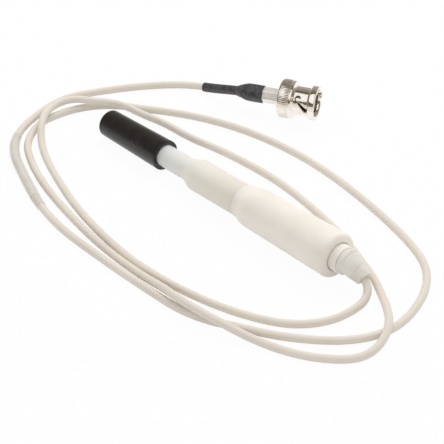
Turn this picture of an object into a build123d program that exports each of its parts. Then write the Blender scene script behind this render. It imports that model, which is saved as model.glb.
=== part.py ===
from build123d import *
import os
from math import asin, cos, degrees, pi, radians, sin, tan

os.makedirs("parts", exist_ok=True)

# A pH electrode with a plastic shaft, a storage cap, a handle and a fixed lead that ends in a
# bayonet plug. Millimetres, +Z up. The electrode lies on the ground plane Z = 0, with +X running
# from its measuring tip to its handle. The origin is on the ground, under the middle of the
# electrode without its lead.

# Electrode: stations are distances from the cap's closed end, measured along the electrode's axis
tip_x = -66.3
cap_end_r = 5.15
cap_mouth_r = 5.75
cap_length = 32.5
cap_end_wall = 2.6
cap_edge_r = 0.9
cap_dimple_r = 1.5
cap_dimple_depth = 0.35
cap_fit_gap = 0.08
cap_mouth_edge_r = 0.3

shaft_front = 12.0
shaft_narrow_r = 4.15
shaft_narrow_wall = 0.95
shaft_r = 5.95
shaft_wall = 1.4
shaft_spigot_r = 5.7
shaft_edge_r = 0.4
shoulder_start = 46.0
shoulder_end = 50.4
shoulder_blend_r = 3.0
shaft_rear = 91.5

tip_front = 4.4
tip_nose_r = 1.1
tip_cone_r = 2.6
tip_cone_length = 6.3
tip_edge_r = 0.7
stem_r = 1.9
glass_wall = 0.45
stem_rear = 74.0
stem_seal_length = 5.0

junction_length = 3.5
gel_rear = 68.0
wire_r = 0.25
wire_front = 8.0
wire_rear = 90.0
reference_wire_offset = 2.55
reference_wire_front = 22.0
rear_plug_length = 6.0
rear_plug_inset = 2.0

handle_front = 74.3
handle_flare_length = 4.1
handle_front_r = 7.4
handle_rear = 120.4
handle_rear_r = 8.2
handle_rear_edge_r = 1.7
handle_bore_r = 5.2
handle_lip_step = 0.2
inner_gap = 0.05

end_cap_groove_depth = 0.6
end_cap_collar_r = 4.95
end_cap_length = 3.25
end_cap_edge_r = 0.3
end_cap_spigot_length = 6.6
end_cap_hole_r = 2.9
end_cap_wall = 1.8

relief_flange_r = 4.75
relief_flange_length = 1.3
relief_base_r = 3.95
relief_end_r = 2.75
relief_length = 8.8
relief_foot_r = 4.2
relief_foot_length = 1.2
relief_edge_r = 0.4
relief_bore_stretch = 24.0

clamp_r = 2.9
clamp_length = 2.0
clamp_inset = 0.6
inner_lead_r = 0.5
reference_lead_bend = 4.0

# Lead: the label's stations are distances along it from its end in the handle
lead_r = 1.4
lead_front = 114.0
arc_share = 0.45
label_from = 1013.0
label_to = 1061.0
band_from = 1019.0
band_to = 1057.0
band_wall = 0.14
label_wall = 0.36
shrink_wall = 0.42

# Plug: stations are distances from the heat-shrink's cut end, measured along the plug's axis
plug_x = -39.1
plug_y = 54.1
plug_heading = 29.5
lead_end = 1.2
shrink_corner_station = -9.0
shrink_wide_r = 3.35
shrink_wide_length = 5.9
shrink_narrow_length = 16.8
shrink_cone_length = 4.8
ferrule_rear = -5.6
ferrule_front = 6.7
ferrule_across_corners = 6.25
ferrule_bore_r = 2.0
nut_rear = 6.85
nut_ring_r = 7.4
nut_ring_length = 5.5
nut_edge_r = 0.8
nut_waist_r = 5.55
nut_waist_length = 5.5
nut_neck_length = 0.6
nut_blend_r = 0.3
nut_flange_r = 6.65
nut_flange_length = 2.3
nut_bore_r = 4.9
nut_mouth_r = 5.35
nut_mouth_depth = 0.7
nut_chamber_r = 6.35
nut_groove_depth = 0.3
knurl_count = 72
knurl_depth = 0.2
knurl_length = 3.2
knurl_rear_inset = 0.9
bayonet_slot_r = 1.05
bayonet_hole_r = 1.3
bayonet_hole_inset = 1.7
bayonet_entry_angle = 100.0
bayonet_sweep = 48.0
bayonet_ramp_length = 3.4
bayonet_steps = 8
nut_channel_r = 6.0

ring_rear_gap = 0.75
ring_thickness = 0.8
ring_bore_r = 4.4
washer_gap = 0.15
washer_thickness = 0.4
washer_r = 6.1
spring_length = 1.5
spring_thickness = 0.3
spring_r = 5.9
flange_thickness = 1.1
flange_gap = 0.15
flange_r = 6.0
spigot_length = 1.4

hub_r = 4.1
crimp_stem_r = 1.75
crimp_stem_rear = 1.6
contact_r = 4.05
contact_wall = 0.4
contact_recess = 0.9
contact_slots = 4
contact_slot_width = 0.4
contact_slot_length = 6.0
contact_slot_start = 45.0
insulator_length = 1.9
insulator_rear_r = 2.9
core_overlap = 0.8
pin_r = 0.68
pin_recess = 2.4
pin_nose_r = 0.5
core_r = 0.9
gasket_r = 4.6
gasket_length = 0.9

# The electrode rests on its cap's closed end and on the front rim of its handle
cap_bore_r = shaft_narrow_r + cap_fit_gap
shaft_narrow_bore_r = shaft_narrow_r - shaft_narrow_wall
shaft_bore_r = shaft_r - shaft_wall
handle_rim_at = handle_front + handle_flare_length
tilt = degrees(asin((handle_front_r - cap_end_r) / handle_rim_at))
along = Vector(cos(radians(tilt)), 0, sin(radians(tilt)))
tip_point = Vector(tip_x, 0, cap_end_r)
profile_plane = Plane(origin=tip_point, x_dir=along, z_dir=(0, -1, 0))
electrode_axis = Axis(tip_point, along)


def on_axis(station):
    """A point on the electrode's axis."""
    return tip_point + along * station


def cross_plane(station):
    """The plane across the electrode's axis, looking to the handle, with its Y axis up."""
    return Plane(origin=on_axis(station), x_dir=(0, 1, 0), z_dir=along)


# Route of the lead, from the clamp inside the handle to the crimp in the plug
relief_corner = on_axis(handle_rear + end_cap_length)
plug_heading_vector = Vector(cos(radians(plug_heading)), sin(radians(plug_heading)), 0)
plug_point = Vector(plug_x, plug_y, nut_ring_r)


def on_plug(station):
    """A point on the plug's axis."""
    return plug_point + plug_heading_vector * station


plug_side = Vector(sin(radians(plug_heading)), -cos(radians(plug_heading)), 0)
plug_axis = Axis(plug_point, plug_heading_vector)
plug_profile_plane = Plane(origin=plug_point, x_dir=plug_heading_vector, z_dir=plug_side)


def plug_cross_plane(station):
    """The plane across the plug's axis, looking to its mouth, with its Y axis up."""
    return Plane(origin=on_plug(station), x_dir=-plug_side, z_dir=plug_heading_vector)


def plug_radial_plane(station, angle):
    """The plane that faces outward from the plug's axis, at an angle from the top."""
    outward = Vector(0, 0, 1) * cos(radians(angle)) + plug_side * sin(radians(angle))
    return Plane(origin=on_plug(station), x_dir=plug_heading_vector, z_dir=outward)


lead_route = [
    on_axis(lead_front),
    relief_corner,
    (66.2, 1.4, 5.1),
    (70.4, -2.6, 1.9),
    (71.4, -9.8, 1.4),
    (70.3, -19.5, 1.4),
    (64.2, -29.6, 1.4),
    (53.0, -36.6, 1.4),
    (38.0, -41.9, 1.4),
    (21.0, -45.1, 1.4),
    (2.0, -46.2, 1.4),
    (-18.0, -44.0, 1.4),
    (-36.0, -40.3, 1.4),
    (-53.0, -34.8, 1.4),
    (-67.5, -29.1, 1.4),
    (-77.0, -24.0, 1.6),
    (-83.0, -19.2, 4.9),
    (-88.0, -13.4, 4.9),
    (-90.8, -7.2, 4.5),
    (-90.4, -1.8, 4.6),
    (-87.8, 2.2, 4.9),
    (-83.0, 5.2, 4.9),
    (-78.8, 9.2, 4.7),
    (-74.4, 13.4, 3.7),
    (-67.0, 16.6, 1.5),
    (-56.0, 19.0, 1.4),
    (-42.0, 19.3, 1.4),
    (-29.0, 21.9, 1.4),
    (-15.0, 23.2, 1.4),
    (0.0, 23.6, 1.4),
    (15.0, 21.9, 1.4),
    (30.0, 18.9, 1.4),
    (43.0, 15.7, 1.4),
    (54.0, 11.1, 1.4),
    (64.0, 7.3, 1.4),
    (73.0, 1.4, 2.6),
    (80.6, -4.4, 4.9),
    (86.4, -9.2, 4.9),
    (89.4, -15.0, 2.6),
    (90.4, -21.8, 1.4),
    (88.2, -28.8, 1.4),
    (81.4, -35.2, 1.4),
    (74.6, -39.4, 1.4),
    (68.0, -42.2, 1.4),
    (59.5, -44.8, 1.6),
    (51.0, -48.2, 3.9),
    (43.0, -50.1, 4.8),
    (32.0, -51.0, 4.8),
    (22.0, -49.7, 3.4),
    (11.5, -48.9, 1.4),
    (-3.0, -48.9, 1.4),
    (-18.0, -47.6, 1.4),
    (-32.0, -45.3, 1.4),
    (-46.0, -42.4, 1.4),
    (-58.0, -39.0, 1.4),
    (-70.0, -34.3, 1.4),
    (-79.5, -28.9, 1.4),
    (-85.2, -21.8, 1.4),
    (-88.6, -14.4, 1.4),
    (-88.4, -6.0, 1.4),
    (-86.8, 1.2, 1.4),
    (-83.4, 8.2, 1.4),
    (-77.4, 14.8, 1.4),
    (-69.5, 19.6, 1.4),
    (-60.5, 26.0, 1.4),
    (-49.0, 32.3, 1.4),
    (-35.0, 37.3, 1.4),
    (-19.0, 40.4, 1.4),
    (-2.0, 41.4, 1.4),
    (15.0, 40.2, 1.4),
    (31.0, 37.6, 1.4),
    (46.0, 34.3, 1.4),
    (60.0, 30.4, 1.4),
    (71.5, 25.0, 1.4),
    (79.3, 16.4, 1.4),
    (84.0, 6.6, 1.4),
    (86.6, -3.6, 1.4),
    (85.8, -13.2, 1.4),
    (80.8, -23.0, 1.4),
    (72.5, -31.3, 1.4),
    (62.5, -38.6, 1.4),
    (52.5, -43.6, 1.4),
    (43.0, -48.9, 1.4),
    (32.0, -51.9, 1.4),
    (19.0, -52.4, 1.4),
    (5.0, -52.8, 1.4),
    (-10.0, -52.8, 1.4),
    (-24.0, -52.6, 1.4),
    (-34.5, -51.5, 1.6),
    (-44.5, -49.6, 2.1),
    (-55.5, -45.6, 2.1),
    (-66.5, -41.2, 2.1),
    (-76.3, -36.9, 2.1),
    (-84.4, -30.6, 2.1),
    (-89.6, -22.6, 2.1),
    (-93.2, -13.6, 1.6),
    (-95.6, -4.8, 1.4),
    (-95.8, 4.0, 1.4),
    (-92.3, 12.4, 1.4),
    (-88.2, 20.8, 1.4),
    (-83.0, 29.8, 1.4),
    (-76.8, 38.4, 1.4),
    (-70.0, 45.3, 1.5),
    (-61.5, 47.6, 2.8),
    on_plug(shrink_corner_station),
    on_plug(lead_end),
]
route_points = [Vector(point) for point in lead_route]

# Each corner's arc takes the same share of the shorter run beside it
corner_radii = []
for before, corner, after in zip(route_points, route_points[1:], route_points[2:]):
    run_in = corner - before
    run_out = after - corner
    half_turn = radians(run_in.get_angle(run_out)) / 2
    corner_radii.append(arc_share * min(run_in.length, run_out.length) / tan(half_turn))
print("lead arc radii:", [round(radius, 1) for radius in corner_radii])

with BuildLine() as lead_line:
    FilletPolyline(*route_points, radius=corner_radii)
lead_wire = lead_line.wires()[0]
lead_length = lead_wire.length
print("lead length:", round(lead_length, 1))


def lead_stretch(start, end):
    """The lead's centre line between two distances from its end in the handle."""
    return lead_wire.trim(start / lead_length, end / lead_length)


def lead_plane(distance):
    """The plane across the lead at a distance from its end in the handle."""
    place = distance / lead_length
    return Plane(origin=lead_wire @ place, z_dir=lead_wire % place)


# Storage cap, a moulded sleeve with a closed end
with BuildPart() as protective_cap:
    with BuildSketch(profile_plane):
        with BuildLine():
            FilletPolyline(
                (0, 0),
                (0, cap_end_r),
                (cap_length, cap_mouth_r),
                (cap_length, cap_bore_r),
                (cap_end_wall, cap_bore_r),
                (cap_end_wall, 0),
                radius=[0, cap_edge_r, cap_mouth_edge_r, 0, 0, 0],
                close=True,
            )
        make_face()
    revolve(axis=electrode_axis)
    with BuildSketch(cross_plane(0)):
        Circle(cap_dimple_r)
    extrude(amount=cap_dimple_depth, mode=Mode.SUBTRACT)
protective_cap.part.label = "protective_cap"
export_step(protective_cap.part, "parts/protective_cap.step")

# Shaft, one moulded tube that widens over a rounded shoulder, with a spigot that plugs into the handle
shaft_step = handle_front - inner_gap
with BuildPart() as shaft_body:
    with BuildSketch(profile_plane):
        with BuildLine():
            FilletPolyline(
                (shaft_front, shaft_narrow_bore_r),
                (shaft_front, shaft_narrow_r),
                (shoulder_start, shaft_narrow_r),
                (shoulder_end, shaft_r),
                (shaft_step, shaft_r),
                (shaft_step, shaft_spigot_r),
                (shaft_rear, shaft_spigot_r),
                (shaft_rear, shaft_bore_r),
                (shoulder_end, shaft_bore_r),
                (shoulder_start, shaft_narrow_bore_r),
                radius=[0, shaft_edge_r, shoulder_blend_r, shoulder_blend_r] + 6 * [0],
                close=True,
            )
        make_face()
    revolve(axis=electrode_axis)
shaft_body.part.label = "shaft_body"
export_step(shaft_body.part, "parts/shaft_body.step")

# Measuring glass, a cone-nosed bulb blown on the end of its stem
glass_shoulder = tip_front + tip_cone_length
stem_bore_r = stem_r - glass_wall
with BuildPart() as glass_tip:
    with BuildSketch(profile_plane):
        with BuildLine():
            FilletPolyline(
                (tip_front, 0),
                (tip_front, tip_nose_r),
                (glass_shoulder, tip_cone_r),
                (shaft_front, stem_r),
                (stem_rear, stem_r),
                (stem_rear, stem_bore_r),
                (shaft_front, stem_bore_r),
                (glass_shoulder, tip_cone_r - glass_wall),
                (tip_front + glass_wall, tip_nose_r - glass_wall / 2),
                (tip_front + glass_wall, 0),
                radius=[0, tip_edge_r, tip_edge_r, 0, 0, 0, 0, 0, 0, 0],
                close=True,
            )
        make_face()
    revolve(axis=electrode_axis)
glass_tip.part.label = "glass_tip"
export_step(glass_tip.part, "parts/glass_tip.step")

# Porous junction ring between the glass stem and the mouth of the shaft
with BuildPart() as junction_ring:
    with BuildSketch(cross_plane(shaft_front)):
        Circle(shaft_narrow_bore_r - inner_gap)
        Circle(stem_r + inner_gap, mode=Mode.SUBTRACT)
    extrude(amount=junction_length)
junction_ring.part.label = "junction_ring"
export_step(junction_ring.part, "parts/junction_ring.step")

# Reference gel that fills the shaft round the stem, with the reference wire's channel
with BuildPart() as reference_gel:
    with BuildSketch(profile_plane):
        with BuildLine():
            Polyline(
                (shaft_front + junction_length + inner_gap, stem_r + inner_gap),
                (shaft_front + junction_length + inner_gap, shaft_narrow_bore_r - inner_gap),
                (shoulder_start, shaft_narrow_bore_r - inner_gap),
                (shoulder_end, shaft_bore_r - inner_gap),
                (gel_rear, shaft_bore_r - inner_gap),
                (gel_rear, stem_r + inner_gap),
                close=True,
            )
        make_face()
    revolve(axis=electrode_axis)
    with BuildSketch(cross_plane(reference_wire_front - inner_gap)):
        with Locations((0, reference_wire_offset)):
            Circle(wire_r + inner_gap)
    extrude(amount=gel_rear - reference_wire_front + 2 * inner_gap, mode=Mode.SUBTRACT)
reference_gel.part.label = "reference_gel"
export_step(reference_gel.part, "parts/reference_gel.step")

# Reference wire, which lies in the gel and comes out through the rear plug
with BuildPart() as reference_wire:
    with BuildSketch(cross_plane(reference_wire_front)):
        with Locations((0, reference_wire_offset)):
            Circle(wire_r)
    extrude(amount=wire_rear - reference_wire_front)
reference_wire.part.label = "reference_wire"
export_step(reference_wire.part, "parts/reference_wire.step")

# Inner wire, which stands in the glass bulb and comes out through the stem's seal
with BuildPart() as inner_wire:
    with BuildSketch(cross_plane(wire_front)):
        Circle(wire_r)
    extrude(amount=wire_rear - wire_front)
inner_wire.part.label = "inner_wire"
export_step(inner_wire.part, "parts/inner_wire.step")

# Seal in the open end of the glass stem
with BuildPart() as stem_seal:
    with BuildSketch(cross_plane(stem_rear - stem_seal_length)):
        Circle(stem_bore_r - inner_gap)
        Circle(wire_r + inner_gap, mode=Mode.SUBTRACT)
    extrude(amount=stem_seal_length)
stem_seal.part.label = "stem_seal"
export_step(stem_seal.part, "parts/stem_seal.step")

# Potting plug that closes the rear of the shaft round both wires
with BuildPart() as rear_plug:
    with BuildSketch(cross_plane(shaft_rear - rear_plug_inset - rear_plug_length)):
        Circle(shaft_bore_r - inner_gap)
        Circle(wire_r + inner_gap, mode=Mode.SUBTRACT)
        with Locations((0, reference_wire_offset)):
            Circle(wire_r + inner_gap, mode=Mode.SUBTRACT)
    extrude(amount=rear_plug_length)
rear_plug.part.label = "rear_plug"
export_step(rear_plug.part, "parts/rear_plug.step")

# Handle, a moulded shell that flares from the shaft and takes the shaft in its socket
handle_socket_r = shaft_spigot_r + inner_gap
handle_lip_r = shaft_r + handle_lip_step
with BuildPart() as handle:
    with BuildSketch(profile_plane):
        with BuildLine():
            TangentArc(
                (handle_front, handle_lip_r),
                (handle_rim_at, handle_front_r),
                tangent=(1, 0),
            )
            FilletPolyline(
                (handle_rim_at, handle_front_r),
                (handle_rear, handle_rear_r),
                (handle_rear, handle_bore_r),
                (shaft_rear + inner_gap, handle_bore_r),
                (shaft_rear + inner_gap, handle_socket_r),
                (handle_front, handle_socket_r),
                radius=[handle_rear_edge_r, 0, 0, 0],
            )
            Line((handle_front, handle_socket_r), (handle_front, handle_lip_r))
        make_face()
    revolve(axis=electrode_axis)
handle.part.label = "handle"
export_step(handle.part, "parts/handle.step")

# End cap, a collar on a spigot that plugs into the handle's bore and holds the strain relief's foot
end_cap_front = handle_rear - end_cap_groove_depth
end_cap_rear = handle_rear + end_cap_length
end_cap_spigot_r = handle_bore_r - inner_gap
end_cap_recess_end = end_cap_rear - end_cap_wall
with BuildPart() as handle_end_cap:
    with BuildSketch(profile_plane):
        with BuildLine():
            FilletPolyline(
                (end_cap_front - end_cap_spigot_length, relief_foot_r + inner_gap),
                (end_cap_front - end_cap_spigot_length, end_cap_spigot_r),
                (end_cap_front, end_cap_spigot_r),
                (end_cap_front, end_cap_collar_r),
                (end_cap_rear, end_cap_collar_r),
                (end_cap_rear, end_cap_hole_r),
                (end_cap_recess_end, end_cap_hole_r),
                (end_cap_recess_end, relief_foot_r + inner_gap),
                radius=[0, 0, 0, 0, end_cap_edge_r, 0, 0, 0],
                close=True,
            )
        make_face()
    revolve(axis=electrode_axis)
handle_end_cap.part.label = "handle_end_cap"
export_step(handle_end_cap.part, "parts/handle_end_cap.step")

# Strain relief, a rubber boot: a cone that droops with the lead, a flange against the end cap, and
# a neck and foot inside it
relief_foot_rear = end_cap_recess_end - inner_gap
relief_flange_front = end_cap_rear + inner_gap
relief_flange_rear = relief_flange_front + relief_flange_length
droop_vector = (route_points[2] - route_points[1]).normalized()
droop_plane = Plane(origin=relief_corner, x_dir=droop_vector, z_dir=(0, -1, 0))
with BuildPart() as strain_relief:
    with BuildSketch(droop_plane):
        with BuildLine():
            FilletPolyline(
                (0, 0),
                (0, relief_base_r),
                (relief_length, relief_end_r),
                (relief_length, 0),
                radius=[0, relief_edge_r],
            )
            Line((relief_length, 0), (0, 0))
        make_face()
    revolve(axis=Axis(relief_corner, droop_vector))
    split(bisect_by=cross_plane(relief_flange_front), keep=Keep.TOP)
    with BuildSketch(profile_plane):
        with BuildLine():
            Polyline(
                (relief_foot_rear - relief_foot_length, 0),
                (relief_foot_rear - relief_foot_length, relief_foot_r),
                (relief_foot_rear, relief_foot_r),
                (relief_foot_rear, end_cap_hole_r - inner_gap),
                (relief_flange_front, end_cap_hole_r - inner_gap),
                (relief_flange_front, relief_flange_r),
                (relief_flange_rear, relief_flange_r),
                (relief_flange_rear, 0),
                close=True,
            )
        make_face()
    revolve(axis=electrode_axis)
    with BuildSketch(lead_plane(0)):
        Circle(lead_r + inner_gap)
    sweep(path=lead_stretch(0, relief_bore_stretch), mode=Mode.SUBTRACT)
strain_relief.part.label = "strain_relief"
export_step(strain_relief.part, "parts/strain_relief.step")

# Clamp ring crimped on the lead inside the handle
with BuildPart() as cable_clamp:
    with BuildSketch(cross_plane(lead_front + clamp_inset)):
        Circle(clamp_r)
        Circle(lead_r + inner_gap, mode=Mode.SUBTRACT)
    extrude(amount=clamp_length)
cable_clamp.part.label = "cable_clamp"
export_step(cable_clamp.part, "parts/cable_clamp.step")

# Insulated inner leads from the two wires to the lead's end
inner_lead_from = wire_rear + inner_gap
inner_lead_to = lead_front - inner_gap
with BuildPart() as signal_lead:
    with BuildSketch(cross_plane(inner_lead_from)):
        Circle(inner_lead_r)
    extrude(amount=inner_lead_to - inner_lead_from)
signal_lead.part.label = "signal_lead"
export_step(signal_lead.part, "parts/signal_lead.step")

reference_lead_end_offset = 2 * inner_lead_r + inner_gap
with BuildPart() as reference_lead:
    with BuildLine(profile_plane) as reference_lead_line:
        FilletPolyline(
            (inner_lead_from, reference_wire_offset),
            (inner_lead_from + reference_lead_bend, reference_wire_offset),
            (inner_lead_to - reference_lead_bend, reference_lead_end_offset),
            (inner_lead_to, reference_lead_end_offset),
            radius=reference_lead_bend,
        )
    with BuildSketch(cross_plane(inner_lead_from)):
        with Locations((0, reference_wire_offset)):
            Circle(inner_lead_r)
    sweep(path=reference_lead_line.wires()[0])
reference_lead.part.label = "reference_lead"
export_step(reference_lead.part, "parts/reference_lead.step")

# The lead itself
with BuildPart() as cable:
    with BuildSketch(lead_plane(0)):
        Circle(lead_r)
    sweep(path=lead_wire)
cable.part.label = "cable"
export_step(cable.part, "parts/cable.step")
print("lead volume share:", round(cable.part.volume / (pi * lead_r**2 * lead_length), 5))


def lead_sleeve(start, end, inner_r, outer_r):
    """A thin sleeve that follows the lead between two distances along it."""
    with BuildPart() as sleeve:
        with BuildSketch(lead_plane(start)):
            Circle(outer_r)
            Circle(inner_r, mode=Mode.SUBTRACT)
        sweep(path=lead_stretch(start, end))
    return sleeve.part


# Plain label wrapped round the lead, under a clear sleeve
band_bore_r = lead_r + inner_gap
label_band = lead_sleeve(band_from, band_to, band_bore_r, band_bore_r + band_wall)
label_band.label = "label_band"
export_step(label_band, "parts/label_band.step")

label_bore_r = band_bore_r + band_wall + inner_gap
label_sleeve = lead_sleeve(label_from, label_to, label_bore_r, label_bore_r + label_wall)
label_sleeve.label = "label_sleeve"
export_step(label_sleeve, "parts/label_sleeve.step")

# Heat-shrink sleeve: narrow on the lead, then a cone up to the rear of the crimp ferrule
shrink_cone_front = -shrink_wide_length
shrink_cone_rear = lead_length - lead_end - shrink_wide_length - shrink_cone_length
shrink_narrow_r = lead_r + shrink_wall
ferrule_r = ferrule_across_corners / 2
with BuildPart() as heat_shrink_sleeve:
    with BuildSketch(lead_plane(shrink_cone_rear)):
        Circle(shrink_narrow_r)
    with BuildSketch(plug_cross_plane(shrink_cone_front)):
        Circle(shrink_wide_r)
    loft()
    with BuildSketch(plug_cross_plane(shrink_cone_front)):
        Circle(shrink_wide_r)
    extrude(amount=shrink_wide_length)
    with BuildSketch(lead_plane(shrink_cone_rear - shrink_narrow_length)):
        Circle(shrink_narrow_r)
    sweep(path=lead_stretch(shrink_cone_rear - shrink_narrow_length, shrink_cone_rear))
    with BuildSketch(lead_plane(shrink_cone_rear - shrink_narrow_length)):
        Circle(lead_r + inner_gap)
    sweep(
        path=lead_stretch(shrink_cone_rear - shrink_narrow_length, lead_length),
        mode=Mode.SUBTRACT,
    )
    with BuildSketch(plug_cross_plane(ferrule_rear - inner_gap)):
        Circle(ferrule_r + inner_gap)
    extrude(amount=-ferrule_rear + 2 * inner_gap, mode=Mode.SUBTRACT)
heat_shrink_sleeve.part.label = "heat_shrink_sleeve"
export_step(heat_shrink_sleeve.part, "parts/heat_shrink_sleeve.step")

# Crimp ferrule, a tube pressed to a hexagon
with BuildPart() as crimp_ferrule:
    with BuildSketch(plug_cross_plane(ferrule_rear)):
        RegularPolygon(radius=ferrule_r, side_count=6)
        Circle(ferrule_bore_r, mode=Mode.SUBTRACT)
    extrude(amount=ferrule_front - ferrule_rear)
crimp_ferrule.part.label = "crimp_ferrule"
export_step(crimp_ferrule.part, "parts/crimp_ferrule.step")

# Stations along the plug, from the rear of the nut to its mouth
nut_length = nut_ring_length + nut_waist_length + 2 * nut_neck_length + nut_flange_length
nut_mouth = nut_rear + nut_length
ring_rear = nut_rear + ring_rear_gap
ring_front = ring_rear + ring_thickness
washer_rear = ring_front + washer_gap
washer_front = washer_rear + washer_thickness
spring_rear = washer_front + inner_gap
spring_front = spring_rear + spring_length
flange_rear = spring_front + inner_gap
flange_front = flange_rear + flange_thickness
nut_step = flange_front + flange_gap
hub_rear = ferrule_front + inner_gap
contact_front = nut_mouth - contact_recess
contact_bore_r = contact_r - contact_wall
spigot_front = flange_front + spigot_length
insulator_rear = flange_rear
core_front = insulator_rear + core_overlap

# Plug body: crimp stem, hub, flange and the spigot that carries the outer contact
with BuildPart() as plug_body:
    with BuildSketch(plug_profile_plane):
        with BuildLine():
            Polyline(
                (crimp_stem_rear, core_r + inner_gap),
                (crimp_stem_rear, crimp_stem_r),
                (hub_rear, crimp_stem_r),
                (hub_rear, hub_r),
                (flange_rear, hub_r),
                (flange_rear, flange_r),
                (flange_front, flange_r),
                (flange_front, contact_bore_r - inner_gap),
                (spigot_front, contact_bore_r - inner_gap),
                (spigot_front, insulator_rear_r + inner_gap),
                (insulator_rear - inner_gap, insulator_rear_r + inner_gap),
                (insulator_rear - inner_gap, core_r + inner_gap),
                close=True,
            )
        make_face()
    revolve(axis=plug_axis)
plug_body.part.label = "plug_body"
export_step(plug_body.part, "parts/plug_body.step")

# Outer contact, a spring sleeve slotted from its front
with BuildPart() as outer_contact:
    with BuildSketch(plug_cross_plane(flange_front + inner_gap)):
        Circle(contact_r)
        Circle(contact_bore_r, mode=Mode.SUBTRACT)
    extrude(amount=contact_front - flange_front - inner_gap)
    with BuildSketch(plug_cross_plane(contact_front)):
        with PolarLocations(contact_r, contact_slots, start_angle=contact_slot_start):
            Rectangle(contact_r, contact_slot_width)
    extrude(amount=-contact_slot_length, mode=Mode.SUBTRACT)
outer_contact.part.label = "outer_contact"
export_step(outer_contact.part, "parts/outer_contact.step")

# Insulator, stepped to sit in the spigot and fill the foot of the outer contact
with BuildPart() as plug_insulator:
    with BuildSketch(plug_profile_plane):
        with BuildLine():
            Polyline(
                (insulator_rear, 0),
                (insulator_rear, insulator_rear_r),
                (spigot_front + inner_gap, insulator_rear_r),
                (spigot_front + inner_gap, contact_bore_r - inner_gap),
                (spigot_front + insulator_length, contact_bore_r - inner_gap),
                (spigot_front + insulator_length, 0),
                close=True,
            )
        make_face()
    revolve(axis=plug_axis)
    with BuildSketch(plug_cross_plane(core_front)):
        Circle(pin_r + inner_gap)
    extrude(amount=spigot_front + insulator_length, mode=Mode.SUBTRACT)
    with BuildSketch(plug_cross_plane(insulator_rear)):
        Circle(core_r + inner_gap)
    extrude(amount=core_overlap, mode=Mode.SUBTRACT)
plug_insulator.part.label = "plug_insulator"
export_step(plug_insulator.part, "parts/plug_insulator.step")

# Centre pin, with a rounded nose
with BuildPart() as centre_pin:
    with BuildSketch(plug_profile_plane):
        with BuildLine():
            FilletPolyline(
                (core_front + inner_gap, 0),
                (core_front + inner_gap, pin_r),
                (nut_mouth - pin_recess, pin_r),
                (nut_mouth - pin_recess, 0),
                radius=[0, pin_nose_r],
            )
            Line((nut_mouth - pin_recess, 0), (core_front + inner_gap, 0))
        make_face()
    revolve(axis=plug_axis)
centre_pin.part.label = "centre_pin"
export_step(centre_pin.part, "parts/centre_pin.step")

# Stripped core of the lead, from the jacket's end to the pin
with BuildPart() as cable_core:
    with BuildSketch(plug_cross_plane(lead_end + inner_gap)):
        Circle(core_r)
    extrude(amount=core_front - lead_end - inner_gap)
cable_core.part.label = "cable_core"
export_step(cable_core.part, "parts/cable_core.step")

# Sealing gasket at the foot of the outer contact
with BuildPart() as plug_gasket:
    with BuildSketch(plug_cross_plane(flange_front + inner_gap)):
        Circle(gasket_r)
        Circle(contact_r + inner_gap, mode=Mode.SUBTRACT)
    extrude(amount=gasket_length)
plug_gasket.part.label = "plug_gasket"
export_step(plug_gasket.part, "parts/plug_gasket.step")

# Spring washer, a ring cut from bowed strip, which pushes the nut back
spring_bow = spring_length - spring_thickness
with BuildPart() as spring_washer:
    with BuildSketch(plug_profile_plane):
        with BuildLine():
            outer_bow = ThreePointArc(
                (spring_front, -spring_r),
                (spring_front - spring_bow, 0),
                (spring_front, spring_r),
            )
            inner_bow = ThreePointArc(
                (spring_front - spring_thickness, -spring_r),
                (spring_rear, 0),
                (spring_front - spring_thickness, spring_r),
            )
            Line(outer_bow @ 0, inner_bow @ 0)
            Line(outer_bow @ 1, inner_bow @ 1)
        make_face()
    extrude(amount=spring_r, both=True)
    with BuildSketch(plug_cross_plane(spring_rear)):
        Circle(spring_r)
        Circle(ring_bore_r + inner_gap, mode=Mode.SUBTRACT)
    extrude(amount=spring_length, mode=Mode.INTERSECT)
spring_washer.part.label = "spring_washer"
export_step(spring_washer.part, "parts/spring_washer.step")

# Flat washer between the spring and the retaining ring
with BuildPart() as thrust_washer:
    with BuildSketch(plug_cross_plane(washer_rear)):
        Circle(washer_r)
        Circle(ring_bore_r, mode=Mode.SUBTRACT)
    extrude(amount=washer_thickness)
thrust_washer.part.label = "thrust_washer"
export_step(thrust_washer.part, "parts/thrust_washer.step")

# Retaining ring, snapped into the groove of the nut's chamber
with BuildPart() as retaining_ring:
    with BuildSketch(plug_cross_plane(ring_rear)):
        Circle(nut_chamber_r + nut_groove_depth - inner_gap)
        Circle(ring_bore_r, mode=Mode.SUBTRACT)
    extrude(amount=ring_thickness)
retaining_ring.part.label = "retaining_ring"
export_step(retaining_ring.part, "parts/retaining_ring.step")

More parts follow.
